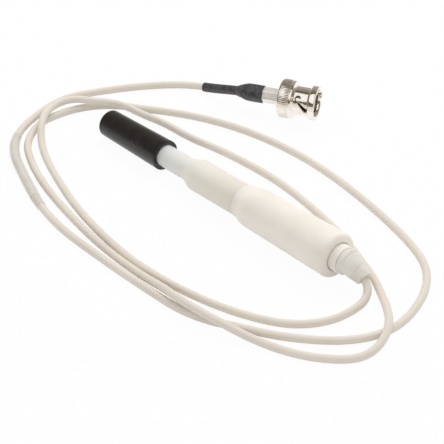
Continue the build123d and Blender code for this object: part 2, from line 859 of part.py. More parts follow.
# Coupling nut: knurled ring, waist and front flange, with two bayonet channels
nut_ring_front = nut_rear + nut_ring_length
nut_waist_rear = nut_ring_front + nut_neck_length
nut_waist_front = nut_waist_rear + nut_waist_length
channel_rear = nut_waist_rear + bayonet_hole_inset
channel_front = channel_rear + bayonet_ramp_length
with BuildPart() as coupling_nut:
    with BuildSketch(plug_profile_plane):
        with BuildLine():
            FilletPolyline(
                (nut_rear, nut_chamber_r),
                (nut_rear, nut_ring_r),
                (nut_ring_front, nut_ring_r),
                (nut_waist_rear, nut_waist_r),
                (nut_waist_front, nut_waist_r),
                (nut_waist_front + nut_neck_length, nut_flange_r),
                (nut_mouth, nut_flange_r),
                (nut_mouth, nut_mouth_r),
                (nut_mouth - nut_mouth_depth, nut_bore_r),
                (nut_step, nut_bore_r),
                (nut_step, nut_chamber_r),
                (ring_front + inner_gap, nut_chamber_r),
                (ring_front + inner_gap, nut_chamber_r + nut_groove_depth),
                (ring_rear - inner_gap, nut_chamber_r + nut_groove_depth),
                (ring_rear - inner_gap, nut_chamber_r),
                radius=[0, nut_edge_r] + 5 * [nut_blend_r] + 8 * [0],
                close=True,
            )
        make_face()
    revolve(axis=plug_axis)
    with BuildSketch(plug_cross_plane(nut_rear + knurl_rear_inset)):
        with PolarLocations(nut_ring_r, knurl_count):
            RegularPolygon(knurl_depth, 4)
    extrude(amount=knurl_length, mode=Mode.SUBTRACT)
    for side in (0, 180):
        for step in range(bayonet_steps + 1):
            share = step / bayonet_steps
            angle = bayonet_entry_angle - bayonet_sweep * share + side
            station = channel_front + (channel_rear - channel_front) * share
            with BuildSketch(plug_radial_plane(station, angle)):
                Circle(bayonet_hole_r if step == bayonet_steps else bayonet_slot_r)
        with BuildSketch(plug_radial_plane(channel_front, bayonet_entry_angle + side)):
            with Locations((nut_length / 2, 0)):
                Rectangle(nut_length, 2 * bayonet_slot_r)
        extrude(amount=nut_channel_r, mode=Mode.SUBTRACT)
coupling_nut.part.label = "coupling_nut"
export_step(coupling_nut.part, "parts/coupling_nut.step")
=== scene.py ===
import math

import bmesh
import bpy
import numpy as np
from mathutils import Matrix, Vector


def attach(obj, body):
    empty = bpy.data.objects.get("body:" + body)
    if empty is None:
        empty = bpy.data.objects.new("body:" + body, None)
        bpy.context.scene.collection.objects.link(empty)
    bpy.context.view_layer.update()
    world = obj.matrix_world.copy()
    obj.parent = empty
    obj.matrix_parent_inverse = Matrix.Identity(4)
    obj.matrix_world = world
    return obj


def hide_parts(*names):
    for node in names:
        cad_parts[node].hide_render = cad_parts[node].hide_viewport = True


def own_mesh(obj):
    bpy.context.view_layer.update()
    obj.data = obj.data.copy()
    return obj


# A pH electrode that lies in loose turns of its own lead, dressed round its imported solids.
# Metres, in the solids' frame: +Z up, +X from the measuring tip to the handle.
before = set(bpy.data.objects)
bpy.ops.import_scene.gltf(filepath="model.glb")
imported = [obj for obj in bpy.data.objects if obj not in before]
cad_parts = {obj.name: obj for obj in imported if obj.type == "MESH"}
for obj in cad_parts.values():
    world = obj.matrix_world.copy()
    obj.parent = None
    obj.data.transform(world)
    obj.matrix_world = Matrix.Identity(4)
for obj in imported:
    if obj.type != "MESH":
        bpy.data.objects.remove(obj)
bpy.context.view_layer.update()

# Camera: a long lens that looks down at the electrode from in front and takes in the whole lead.
camera_place = Vector((0.3732, -0.3432, 0.3560))
camera_target = Vector((0.0044, -0.0071, 0.0))
camera_lens = bpy.data.cameras.new("camera")
camera_lens.sensor_width = 36
camera_lens.lens = 142
camera = bpy.data.objects.new("camera", camera_lens)
camera.location = camera_place
camera.rotation_euler = (camera_target - camera_place).to_track_quat("-Z", "Y").to_euler()
bpy.context.scene.collection.objects.link(camera)
bpy.context.scene.camera = camera
bpy.context.scene.view_settings.view_transform = "Standard"


def linear(red, green, blue):
    """A screen colour, 0 to 255, as the linear colour that a shader takes."""
    share = np.array([red, green, blue]) / 255
    curved = ((share + 0.055) / 1.055) ** 2.4
    return (*np.where(share > 0.04045, curved, share / 12.92), 1.0)


# Table and light: a white sweep that the camera sees as almost plain white, with a faint contact
# shadow, one broad lamp overhead, an even pale room, and shaded walls that only gloss mirrors.
table_half = 3.0
table_drop = 0.00002
table_glow = 0.95
room_colour = (1.0, 0.99, 0.975, 1.0)
room_strength = 0.74
bright_side = (0.246, -0.435, 0.866)
wall_shades = [
    (0.0, (0.3, 0.27, 0.24, 1)),
    (0.45, (0.42, 0.38, 0.33, 1)),
    (0.72, (0.3, 0.26, 0.22, 1)),
    (0.87, (0.1, 0.085, 0.07, 1)),
    (0.9, (0.12, 0.1, 0.085, 1)),
    (0.925, (1.0, 0.99, 0.97, 1)),
    (1.0, (1.0, 1.0, 1.0, 1)),
]
lamp_place = Vector((-0.35, 0.55, 0.9))
lamp_size = 0.7
lamp_power = 6.0

table_mesh = bpy.data.meshes.new("table")
corners = np.array([(-1, -1), (1, -1), (1, 1), (-1, 1)]) * table_half
table_mesh.from_pydata([(x, y, -table_drop) for x, y in corners], [], [(0, 1, 2, 3)])
table = bpy.data.objects.new("table", table_mesh)
bpy.context.scene.collection.objects.link(table)


def seen_share(tree, *others):
    """1 for the camera's rays and for the other kinds of ray named, and otherwise 0."""
    path = tree.nodes.new("ShaderNodeLightPath")
    total = path.outputs["Is Camera Ray"]
    for other in others:
        either = tree.nodes.new("ShaderNodeMath")
        either.operation = "MAXIMUM"
        tree.links.new(total, either.inputs[0])
        tree.links.new(path.outputs[other], either.inputs[1])
        total = either.outputs[0]
    return total


def blended(tree, share, first, second):
    """A surface or light that is the first where the share is 0 and the second where it is 1."""
    mix = tree.nodes.new("ShaderNodeMixShader")
    for socket, source in zip(mix.inputs, (share, first, second)):
        tree.links.new(source, socket)
    return mix.outputs[0]


table_paint = bpy.data.materials.new("white_sweep")
table_paint.use_nodes = True
tree = table_paint.node_tree
white = tree.nodes["Principled BSDF"]
white.inputs["Base Color"].default_value = (0.86, 0.86, 0.86, 1)
white.inputs["Roughness"].default_value = 0.9
white.inputs["Specular IOR Level"].default_value = 0.0
glow = tree.nodes.new("ShaderNodeEmission")
glow.inputs["Color"].default_value = (1, 1, 1, 1)
glow.inputs["Strength"].default_value = 1.0
share = tree.nodes.new("ShaderNodeMath")
share.operation = "MULTIPLY"
share.inputs[1].default_value = table_glow
tree.links.new(seen_share(tree, "Is Transmission Ray", "Is Glossy Ray"), share.inputs[0])
sweep = blended(tree, share.outputs[0], white.outputs[0], glow.outputs[0])
tree.links.new(sweep, tree.nodes["Material Output"].inputs["Surface"])
table.data.materials.append(table_paint)

room = bpy.data.worlds.new("room")
room.use_nodes = True
bpy.context.scene.world = room
tree = room.node_tree
light = tree.nodes["Background"]
light.inputs["Color"].default_value = room_colour
light.inputs["Strength"].default_value = room_strength
facing = tree.nodes.new("ShaderNodeTexCoord")
towards = tree.nodes.new("ShaderNodeVectorMath")
towards.operation = "DOT_PRODUCT"
towards.inputs[1].default_value = bright_side
reach = tree.nodes.new("ShaderNodeMapRange")
reach.inputs["From Min"].default_value = -1
walls = tree.nodes.new("ShaderNodeValToRGB")
for spot, shade in wall_shades[1:-1]:
    walls.color_ramp.elements.new(spot)
for element, (spot, shade) in zip(walls.color_ramp.elements, wall_shades):
    element.position = spot
    element.color = shade
mirrored = tree.nodes.new("ShaderNodeBackground")
ray = tree.nodes.new("ShaderNodeLightPath")
tree.links.new(facing.outputs["Generated"], towards.inputs[0])
tree.links.new(towards.outputs["Value"], reach.inputs["Value"])
tree.links.new(reach.outputs["Result"], walls.inputs["Fac"])
tree.links.new(walls.outputs["Color"], mirrored.inputs["Color"])
lit = blended(tree, ray.outputs["Is Glossy Ray"], light.outputs[0], mirrored.outputs[0])
backdrop = tree.nodes.new("ShaderNodeBackground")
backdrop.inputs["Color"].default_value = (1, 1, 1, 1)
backdrop.inputs["Strength"].default_value = 1.0
around = blended(tree, seen_share(tree, "Is Transmission Ray"), lit, backdrop.outputs[0])
tree.links.new(around, tree.nodes["World Output"].inputs["Surface"])

lamp_light = bpy.data.lights.new("softbox", "AREA")
lamp_light.shape = "SQUARE"
lamp_light.size = lamp_size
lamp_light.energy = lamp_power
lamp = bpy.data.objects.new("softbox", lamp_light)
lamp.location = lamp_place
lamp.rotation_euler = (-lamp_place).to_track_quat("-Z", "Y").to_euler()
lamp.visible_glossy = False
bpy.context.scene.collection.objects.link(lamp)

# Lead: 1.18 m of slim shielded cable in a soft pale jacket. It leaves the handle's boot, lies in two
# loose turns round the electrode, and ends in the crimp of the plug behind it.
lead_radius = 0.0014
lead_pale = linear(233, 225, 214)
lead_deep = linear(227, 218, 206)
cap_end_radius = 0.00515
handle_rim_radius = 0.0074
handle_rim_station = 0.0784
nut_radius = 0.0074
tip_place = np.array((-0.0663, 0.0, cap_end_radius))
tilt = math.asin((handle_rim_radius - cap_end_radius) / handle_rim_station)
electrode_heading = np.array((math.cos(tilt), 0.0, math.sin(tilt)))
electrode_up = np.array((-math.sin(tilt), 0.0, math.cos(tilt)))
plug_place = np.array((-0.0391, 0.0541, nut_radius))
plug_turn = math.radians(29.5)
plug_heading = np.array((math.cos(plug_turn), math.sin(plug_turn), 0.0))
plug_up = np.array((0.0, 0.0, 1.0))


def on_electrode(station):
    """The point of the electrode's axis at a distance from the cap's closed end."""
    return tip_place + electrode_heading * station


def on_plug(station):
    """The point of the plug's axis at a distance from the heat shrink's end on the ferrule."""
    return plug_place + plug_heading * station


lead_start = 0.114
boot_corner = 0.12365
lead_end = 0.0012
shrink_corner = -0.009
route = [
    on_electrode(lead_start),
    on_electrode(boot_corner),
    (0.0662, 0.0014, 0.0051),
    (0.0704, -0.0026, 0.0019),
    (0.0714, -0.0098, 0.0014),
    (0.0703, -0.0195, 0.0014),
    (0.0642, -0.0296, 0.0014),
    (0.053, -0.0366, 0.0014),
    (0.038, -0.0419, 0.0014),
    (0.021, -0.0451, 0.0014),
    (0.002, -0.0462, 0.0014),
    (-0.018, -0.044, 0.0014),
    (-0.036, -0.0403, 0.0014),
    (-0.053, -0.0348, 0.0014),
    (-0.0675, -0.0291, 0.0014),
    (-0.077, -0.024, 0.0016),
    (-0.083, -0.0192, 0.0049),
    (-0.088, -0.0134, 0.0049),
    (-0.0908, -0.0072, 0.0045),
    (-0.0904, -0.0018, 0.0046),
    (-0.0878, 0.0022, 0.0049),
    (-0.083, 0.0052, 0.0049),
    (-0.0788, 0.0092, 0.0047),
    (-0.0744, 0.0134, 0.0037),
    (-0.067, 0.0166, 0.0015),
    (-0.056, 0.019, 0.0014),
    (-0.042, 0.0193, 0.0014),
    (-0.029, 0.0219, 0.0014),
    (-0.015, 0.0232, 0.0014),
    (0, 0.0236, 0.0014),
    (0.015, 0.0219, 0.0014),
    (0.03, 0.0189, 0.0014),
    (0.043, 0.0157, 0.0014),
    (0.054, 0.0111, 0.0014),
    (0.064, 0.0073, 0.0014),
    (0.073, 0.0014, 0.0026),
    (0.0806, -0.0044, 0.0049),
    (0.0864, -0.0092, 0.0049),
    (0.0894, -0.015, 0.0026),
    (0.0904, -0.0218, 0.0014),
    (0.0882, -0.0288, 0.0014),
    (0.0814, -0.0352, 0.0014),
    (0.0746, -0.0394, 0.0014),
    (0.068, -0.0422, 0.0014),
    (0.0595, -0.0448, 0.0016),
    (0.051, -0.0482, 0.0039),
    (0.043, -0.0501, 0.0048),
    (0.032, -0.051, 0.0048),
    (0.022, -0.0497, 0.0034),
    (0.0115, -0.0489, 0.0014),
    (-0.003, -0.0489, 0.0014),
    (-0.018, -0.0476, 0.0014),
    (-0.032, -0.0453, 0.0014),
    (-0.046, -0.0424, 0.0014),
    (-0.058, -0.039, 0.0014),
    (-0.07, -0.0343, 0.0014),
    (-0.0795, -0.0289, 0.0014),
    (-0.0852, -0.0218, 0.0014),
    (-0.0886, -0.0144, 0.0014),
    (-0.0884, -0.006, 0.0014),
    (-0.0868, 0.0012, 0.0014),
    (-0.0834, 0.0082, 0.0014),
    (-0.0774, 0.0148, 0.0014),
    (-0.0695, 0.0196, 0.0014),
    (-0.0605, 0.026, 0.0014),
    (-0.049, 0.0323, 0.0014),
    (-0.035, 0.0373, 0.0014),
    (-0.019, 0.0404, 0.0014),
    (-0.002, 0.0414, 0.0014),
    (0.015, 0.0402, 0.0014),
    (0.031, 0.0376, 0.0014),
    (0.046, 0.0343, 0.0014),
    (0.06, 0.0304, 0.0014),
    (0.0715, 0.025, 0.0014),
    (0.0793, 0.0164, 0.0014),
    (0.084, 0.0066, 0.0014),
    (0.0866, -0.0036, 0.0014),
    (0.0858, -0.0132, 0.0014),
    (0.0808, -0.023, 0.0014),
    (0.0725, -0.0313, 0.0014),
    (0.0625, -0.0386, 0.0014),
    (0.0525, -0.0436, 0.0014),
    (0.043, -0.0489, 0.0014),
    (0.032, -0.0519, 0.0014),
    (0.019, -0.0524, 0.0014),
    (0.005, -0.0528, 0.0014),
    (-0.01, -0.0528, 0.0014),
    (-0.024, -0.0526, 0.0014),
    (-0.0345, -0.0515, 0.0016),
    (-0.0445, -0.0496, 0.0021),
    (-0.0555, -0.0456, 0.0021),
    (-0.0665, -0.0412, 0.0021),
    (-0.0763, -0.0369, 0.0021),
    (-0.0844, -0.0306, 0.0021),
    (-0.0896, -0.0226, 0.0021),
    (-0.0932, -0.0136, 0.0016),
    (-0.0956, -0.0048, 0.0014),
    (-0.0958, 0.004, 0.0014),
    (-0.0923, 0.0124, 0.0014),
    (-0.0882, 0.0208, 0.0014),
    (-0.083, 0.0298, 0.0014),
    (-0.0768, 0.0384, 0.0014),
    (-0.07, 0.0453, 0.0015),
    (-0.0615, 0.0476, 0.0028),
    on_plug(shrink_corner),
    on_plug(lead_end),
]


def shader_of(paint):
    """The one surface shader of a finish."""
    return paint.node_tree.nodes["Principled BSDF"]


def surface_paint(name, pale, deep, patch, grain, roughness, bump, metallic=0.0):
    """A finish that drifts between two shades in soft patches of one size, over a fine grain of
    another size that lifts the surface by the bump, in metres."""
    paint = bpy.data.materials.new(name)
    paint.use_nodes = True
    tree = paint.node_tree
    shader = shader_of(paint)
    shader.inputs["Roughness"].default_value = roughness
    shader.inputs["Metallic"].default_value = metallic
    place = tree.nodes.new("ShaderNodeTexCoord")
    clouds = tree.nodes.new("ShaderNodeTexNoise")
    clouds.inputs["Scale"].default_value = 1 / patch
    clouds.inputs["Detail"].default_value = 3
    shades = tree.nodes.new("ShaderNodeValToRGB")
    shades.color_ramp.elements[0].position = 0.35
    shades.color_ramp.elements[0].color = deep
    shades.color_ramp.elements[1].position = 0.65
    shades.color_ramp.elements[1].color = pale
    fine = tree.nodes.new("ShaderNodeTexNoise")
    fine.inputs["Scale"].default_value = 1 / grain
    fine.inputs["Detail"].default_value = 1
    lift = tree.nodes.new("ShaderNodeBump")
    lift.inputs["Distance"].default_value = bump
    lift.inputs["Strength"].default_value = 1.0
    tree.links.new(place.outputs["Object"], clouds.inputs["Vector"])
    tree.links.new(place.outputs["Object"], fine.inputs["Vector"])
    tree.links.new(clouds.outputs["Fac"], shades.inputs["Fac"])
    tree.links.new(shades.outputs["Color"], shader.inputs["Base Color"])
    tree.links.new(fine.outputs["Fac"], lift.inputs["Height"])
    tree.links.new(lift.outputs["Normal"], shader.inputs["Normal"])
    return paint


def translucent(paint, weight, depth):
    """Lets light sink into a plastic by about that depth, in metres."""
    shader = shader_of(paint)
    shader.inputs["Subsurface Weight"].default_value = weight
    shader.inputs["Subsurface Radius"].default_value = (1.0, 0.85, 0.7)
    shader.inputs["Subsurface Scale"].default_value = depth


jacket = surface_paint("lead_jacket_vinyl", lead_pale, lead_deep, 0.03, 0.006, 0.4, 0.00001)

lead_curve = bpy.data.curves.new("lead", "CURVE")
lead_curve.dimensions = "3D"
spline = lead_curve.splines.new("NURBS")
spline.points.add(len(route) - 1)
spline.points.foreach_set("co", np.column_stack([np.array(route), np.ones(len(route))]).ravel())
spline.order_u = 3
spline.use_endpoint_u = True
spline.resolution_u = 10
lead = bpy.data.objects.new("lead", lead_curve)
bpy.context.scene.collection.objects.link(lead)
bpy.context.view_layer.update()

centre_line = bpy.data.meshes.new_from_object(lead)
lead_points = np.empty(len(centre_line.vertices) * 3)
centre_line.vertices.foreach_get("co", lead_points)
lead_points = lead_points.reshape(-1, 3)
bpy.data.meshes.remove(centre_line)
lead_steps = np.linalg.norm(np.diff(lead_points, axis=0), axis=1)
lead_distances = np.concatenate([[0], np.cumsum(lead_steps)])
lead_total = lead_distances[-1]

lead_curve.bevel_depth = lead_radius
lead_curve.bevel_resolution = 5
lead_curve.use_fill_caps = True
lead_curve.materials.append(jacket)
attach(lead, "electrode")
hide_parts("cable")

# Storage cap: a short black rubber sleeve with a closed end, moulded in one piece and pushed on over
# the tip. A small ring stands on its side where the mould was fed.
cap_length = 0.0325
cap_mouth_radius = 0.00575
cap_bore_radius = 0.00423
cap_end_wall = 0.0026
cap_mark_station = 0.0212
cap_mark_angle = math.radians(55)
cap_mark_radius = 0.0016
cap_mark_width = 0.0003
cap_mark_height = 0.00012
cap_outside = 0.00495
round_steps = 6


def outline(corners, closed):
    """Rows of (station, radius) through corners of (station, radius, rounding). A rounded corner is
    a circular arc that touches both of its sides, its points found by turning one radius into the
    other by equal angles."""
    places = np.array([corner[:2] for corner in corners])
    rows = []
    for index, (_, _, rounding) in enumerate(corners):
        here = places[index]
        if rounding == 0:
            rows.append(here[None])
            continue
        back = places[index - 1] - here
        ahead = places[(index + 1) % len(corners)] - here
        back /= np.linalg.norm(back)
        ahead /= np.linalg.norm(ahead)
        half = math.acos(np.clip(back @ ahead, -1, 1)) / 2
        middle = here + (back + ahead) / np.linalg.norm(back + ahead) * rounding / math.sin(half)
        first = here + back * rounding / math.tan(half) - middle
        last = here + ahead * rounding / math.tan(half) - middle
        turn = math.pi - 2 * half
        step = np.linspace(0, turn, round_steps + 1)[:, None]
        rows.append(middle + (np.sin(turn - step) * first + np.sin(step) * last) / math.sin(turn))
    if closed:
        rows.append(places[:1] if corners[0][2] == 0 else rows[0][:1])
    return np.concatenate(rows)


def close_set(rows, spacing):
    """The same rows with more between them, so that none are further apart than the spacing."""
    steps = np.linalg.norm(np.diff(rows, axis=0), axis=1)
    distances = np.concatenate([[0], np.cumsum(steps)])
    wanted = np.union1d(distances, np.arange(0, distances[-1], spacing))
    return np.column_stack([np.interp(wanted, distances, rows[:, column]) for column in (0, 1)])


def straight(place, heading, up):
    """A straight axis: gives the centres at stations along it, with the up and side directions."""
    side = np.cross(heading, up)

    def at(stations):
        centres = place + stations[:, None] * heading
        return centres, np.broadcast_to(up, centres.shape), np.broadcast_to(side, centres.shape)

    return at


def turned(name, rows, axis, sides=96, shape=None, sharp=40):
    """A piece turned about an axis: each row of (station, radius) becomes a ring of that radius round
    the axis there, up times cosine plus side times sine of the angle. The shape, if one is given,
    works out the radius from the station, the angle and the row's own radius. Rings are joined in
    quads, and rings on the axis close to a point."""
    angles = np.linspace(0, 2 * math.pi, sides, endpoint=False)
    stations, radii = rows[:, 0], np.repeat(rows[:, 1:2], sides, axis=1)
    if shape is not None:
        radii = shape(stations[:, None], angles[None, :], radii)
    centres, up, side = axis(stations)
    spokes = (
        up[:, None] * np.cos(angles)[None, :, None] + side[:, None] * np.sin(angles)[None, :, None]
    )
    points = centres[:, None] + radii[:, :, None] * spokes
    index = np.arange(len(rows) * sides).reshape(len(rows), sides)
    index = np.hstack([index, index[:, :1]])
    faces = np.stack([index[:-1, :-1], index[:-1, 1:], index[1:, 1:], index[1:, :-1]], axis=-1)
    mesh = bpy.data.meshes.new(name)
    mesh.from_pydata(points.reshape(-1, 3).tolist(), [], faces.reshape(-1, 4).tolist())
    form = bmesh.new()
    form.from_mesh(mesh)
    bmesh.ops.remove_doubles(form, verts=form.verts, dist=0.0000005)
    bmesh.ops.recalc_face_normals(form, faces=form.faces)
    form.to_mesh(mesh)
    form.free()
    mesh.shade_smooth()
    mesh.set_sharp_from_angle(angle=math.radians(sharp))
    piece = bpy.data.objects.new(name, mesh)
    bpy.context.scene.collection.objects.link(piece)
    return piece


def fit(piece, paint, body, slot, *nodes):
    """Gives a piece its finish and its body, and lets it stand for its solids."""
    piece.data.materials.append(paint)
    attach(piece, body)
    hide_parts(*nodes)


def moulded_ring(stations, angles, radii):
    """The radius, plus a low ring and a dot at the mark, both by distance over the cap's outside."""
    along = stations - cap_mark_station
    around = (angles - cap_mark_angle) * cap_mouth_radius
    distance = np.hypot(along, around)
    ring = np.exp(-(((distance - cap_mark_radius) / cap_mark_width) ** 2))
    dot = np.exp(-((distance / cap_mark_width) ** 2)) / 2
    return radii + cap_mark_height * (ring + dot) * (radii > cap_outside)


electrode_axis = straight(tip_place, electrode_heading, electrode_up)
cap_rows = outline(
    [
        (0.00035, 0, 0),
        (0.00035, 0.0015, 0),
        (0, 0.0015, 0),
        (0, cap_end_radius, 0.0009),
        (cap_length, cap_mouth_radius, 0.0003),
        (cap_length, cap_bore_radius, 0.0002),
        (cap_end_wall, cap_bore_radius, 0),
        (cap_end_wall, 0, 0),
    ],
    closed=False,
)
cap_shell = turned("cap_shell", close_set(cap_rows, 0.0002), electrode_axis, 180, moulded_ring)
cap_rubber = surface_paint(
    "black_cap_rubber", linear(34, 30, 28), linear(20, 18, 17), 0.003, 0.0008, 0.3, 0.00003
)
fit(cap_shell, cap_rubber, "cap", "black_cap", "protective_cap")

# Shaft: one moulded tube of milky plastic, slim in front and full behind a rounded shoulder. The
# slim end is painted greyer and cooler at the cap's mouth, as painted shadow and reflection of the
# dark cap.
shaft_rows = outline(
    [
        (0.012, 0.0032, 0),
        (0.012, 0.00415, 0.0004),
        (0.046, 0.00415, 0.003),
        (0.0504, 0.00595, 0.003),
        (0.07425, 0.00595, 0),
        (0.07425, 0.0057, 0),
        (0.0915, 0.0057, 0),
        (0.0915, 0.00455, 0),
        (0.0504, 0.00455, 0),
        (0.046, 0.0032, 0),
    ],
    closed=True,
)
shaft_tube = turned("shaft_tube", close_set(shaft_rows, 0.001), electrode_axis, 120)


def along_ramp(paint, stops):
    """Lays the shades of a finish in order along X, each stop a place in metres and a colour, and
    keeps a little of the finish's own drift in them."""
    tree = paint.node_tree
    shader = shader_of(paint)
    drift = shader.inputs["Base Color"].links[0].from_socket
    place = tree.nodes.new("ShaderNodeTexCoord")
    split = tree.nodes.new("ShaderNodeSeparateXYZ")
    reach = tree.nodes.new("ShaderNodeMapRange")
    reach.inputs["From Min"].default_value = stops[0][0]
    reach.inputs["From Max"].default_value = stops[-1][0]
    shades = tree.nodes.new("ShaderNodeValToRGB")
    span = stops[-1][0] - stops[0][0]
    for index, (spot, shade) in enumerate(stops):
        share = (spot - stops[0][0]) / span
        if index in (0, len(stops) - 1):
            element = shades.color_ramp.elements[0 if index == 0 else -1]
            element.position = share
        else:
            element = shades.color_ramp.elements.new(share)
        element.color = shade
    blend = tree.nodes.new("ShaderNodeMix")
    blend.data_type = "RGBA"
    blend.inputs["Factor"].default_value = 0.7
    tree.links.new(place.outputs["Object"], split.inputs["Vector"])
    tree.links.new(split.outputs["X"], reach.inputs["Value"])
    tree.links.new(reach.outputs["Result"], shades.inputs["Fac"])
    tree.links.new(drift, blend.inputs["A"])
    tree.links.new(shades.outputs["Color"], blend.inputs["B"])
    tree.links.new(blend.outputs["Result"], shader.inputs["Base Color"])


shaft_plastic = surface_paint(
    "milky_shaft_plastic_and_cap_shade", linear(244, 239, 229), linear(236, 229, 218), 0.01, 0.0006, 0.34, 0.000008
)
# The ramp paints the dark cap's shadow and reflection as a grey, cool band at the cap's mouth, and
# also turns darker towards the handle's flare.
along_ramp(
    shaft_plastic,
    [
        (-0.034, linear(205, 209, 212)),
        (-0.028, linear(226, 229, 230)),
        (-0.016, linear(236, 233, 224)),
        (0.0, linear(234, 228, 216)),
        (0.012, linear(222, 214, 202)),
    ],
)
translucent(shaft_plastic, 0.4, 0.002)
fit(shaft_tube, shaft_plastic, "electrode", "shaft_plastic", "shaft_body")

# Handle: a moulded shell of satin cream plastic, pushed on the shaft's rear. Its front flares out
# from the shaft in a hollow curve, and its rear edge is rounded.
handle_rows = outline(
    [
        (0.0743, 0.00615, 0),
        (0.0761, 0.0062, 0.004),
        (0.0779, 0.0071, 0.0025),
        (0.0806, 0.00745, 0.001),
        (0.1204, 0.0082, 0.0017),
        (0.1204, 0.0052, 0.0002),
        (0.09155, 0.0052, 0),
        (0.09155, 0.00575, 0),
        (0.0743, 0.00575, 0),
    ],
    closed=True,
)
handle_shell = turned("handle_shell", close_set(handle_rows, 0.001), electrode_axis, 128)
handle_plastic = surface_paint(
    "cream_handle_plastic", linear(247, 242, 233), linear(241, 235, 225), 0.014, 0.0004, 0.4, 0.000006
)
translucent(handle_plastic, 0.25, 0.001)
fit(handle_shell, handle_plastic, "electrode", "handle_plastic", "handle")

# End cap: a collar moulded in the handle's plastic and pressed into its rear, with a dark groove
# left round it.
end_cap_rows = outline(
    [
        (0.1132, 0.00425, 0),
        (0.1132, 0.00515, 0),
        (0.1198, 0.00515, 0),
        (0.1198, 0.00495, 0),
        (0.12365, 0.00495, 0.0003),
        (0.12365, 0.0029, 0),
        (0.12185, 0.0029, 0),
        (0.12185, 0.00425, 0),
    ],
    closed=True,
)
end_ring = turned("end_ring", close_set(end_cap_rows, 0.0008), electrode_axis, 112)
fit(end_ring, handle_plastic, "electrode", "handle_plastic", "handle_end_cap")


# Boot: the lead's strain relief, moulded in soft whitish vinyl. A flange sits against the end cap,
# and the boot tapers along the lead as it droops.
boot_end = 0.1324
boot_droop_start = 0.1246
boot_droop_end = 0.1285


def bent(distances, centres):
    """An axis that bends: gives the centres at distances along a line of points, with side square to
    the line and level, and up square to both."""
    headings = np.gradient(centres, distances, axis=0)
    headings /= np.linalg.norm(headings, axis=1)[:, None]

    def at(stations):
        at_stations = np.column_stack([np.interp(stations, distances, c) for c in centres.T])
        ahead = np.column_stack([np.interp(stations, distances, h) for h in headings.T])
        side = np.cross(ahead, (0, 0, 1))
        side /= np.linalg.norm(side, axis=1)[:, None]
        up = np.cross(side, ahead)
        return at_stations, up / np.linalg.norm(up, axis=1)[:, None], side

    return at


def eased(values, start, end):
    """0 before start, 1 after end, and a smooth S between them."""
    share = np.clip((values - start) / (end - start), 0, 1)
    return share * share * (3 - 2 * share)


def mixed_axis(stations, first, second, start, end):
    """An axis that follows one line of centres up to a station and another after a second one."""
    weight = eased(stations, start, end)[:, None]
    return bent(stations, first * (1 - weight) + second * weight)


def lead_at(distances):
    """The points of the lead's line at distances from its end in the handle."""
    return np.column_stack([np.interp(distances, lead_distances, c) for c in lead_points.T])


boot_stations = np.linspace(0.12, 0.1335, 80)
boot_axis = mixed_axis(
    boot_stations,
    on_electrode(boot_stations[:, None]),
    lead_at(boot_stations - lead_start),
    boot_droop_start,
    boot_droop_end,
)
boot_rows = outline(
    [
        (0.12245, 0.00148, 0),
        (0.12245, 0.0028, 0),
        (0.12372, 0.0028, 0),
        (0.12372, 0.00475, 0.0003),
        (0.125, 0.0047, 0.0003),
        (0.1252, 0.0042, 0.0002),
        (boot_end, 0.0028, 0.0004),
        (boot_end, 0.00148, 0),
    ],
    closed=True,
)
boot = turned("boot", close_set(boot_rows, 0.0004), boot_axis, 96)
boot_vinyl = surface_paint(
    "whitish_boot_vinyl", linear(236, 233, 227), linear(226, 221, 213), 0.005, 0.0004, 0.4, 0.00001
)
fit(boot, boot_vinyl, "electrode", "lead_jacket", "strain_relief")

# Label: a plain paper band wrapped round the lead, under a clear sleeve shrunk over it.
lead_axis = bent(lead_distances, lead_points)
label_front_to_plug = 0.1173
label_rear_to_plug = 0.1653
label_end = lead_total - label_front_to_plug
label_start = lead_total - label_rear_to_plug
band_inset = 0.006
band_front = label_end - band_inset + 0.002
band_rows = outline(
    [
        (label_start + band_inset, 0.00145, 0),
        (label_start + band_inset, 0.00159, 0.00005),
        (band_front, 0.00159, 0.00005),
        (band_front, 0.00145, 0),
    ],
    closed=True,
)
band = turned("label_paper_band", close_set(band_rows, 0.001), lead_axis, 40)
band_paper = surface_paint(
    "plain_label_paper", linear(233, 229, 222), linear(226, 221, 213), 0.008, 0.0002, 0.7, 0.00001
)
fit(band, band_paper, "electrode", "label_paper", "label_band")

sleeve_rows = outline(
    [
        (label_start, 0.0015, 0),
        (label_start, 0.00185, 0.0001),
        (label_start + band_inset, 0.002, 0.0005),
        (label_end - band_inset, 0.002, 0.0005),
        (label_end, 0.00185, 0.0001),
        (label_end, 0.0015, 0),
        (label_end - band_inset, 0.00164, 0),
        (label_start + band_inset, 0.00164, 0),
    ],
    closed=True,
)
sleeve = turned("label_clear_sleeve", close_set(sleeve_rows, 0.001), lead_axis, 48)
sleeve_film = surface_paint(
    "clear_label_film", linear(240, 236, 230), linear(232, 227, 219), 0.004, 0.0006, 0.2, 0.00001
)
shader_of(sleeve_film).inputs["Alpha"].default_value = 0.25
fit(sleeve, sleeve_film, "electrode", "clear_film", "label_sleeve")

# Heat shrink: a dull dark plastic sleeve, shrunk tight on the lead and over the rear of the crimp
# ferrule, whose six flats show faintly through it.
shrink_rear = -0.0275
shrink_bend_rear = -0.0107
shrink_bend_front = -0.0059
shrink_stations = np.linspace(-0.032, 0.0005, 128)
shrink_axis = mixed_axis(
    shrink_stations,
    lead_at(lead_total - lead_end + shrink_stations),
    on_plug(shrink_stations[:, None]),
    shrink_bend_rear,
    shrink_bend_front,
)
ferrule_corner_radius = 0.003125
crimp_rear = -0.006
crimp_front = -0.004
crimp_corner_radius = 0.0036
crimp_corner_round = 0.00012
crimp_pull = 0.45
pucker_station = -0.0083
pucker_reach = 0.002
pucker_height = 0.00007
pucker_rate = 1900
wide_outside = 0.003
narrow_outside = 0.0016


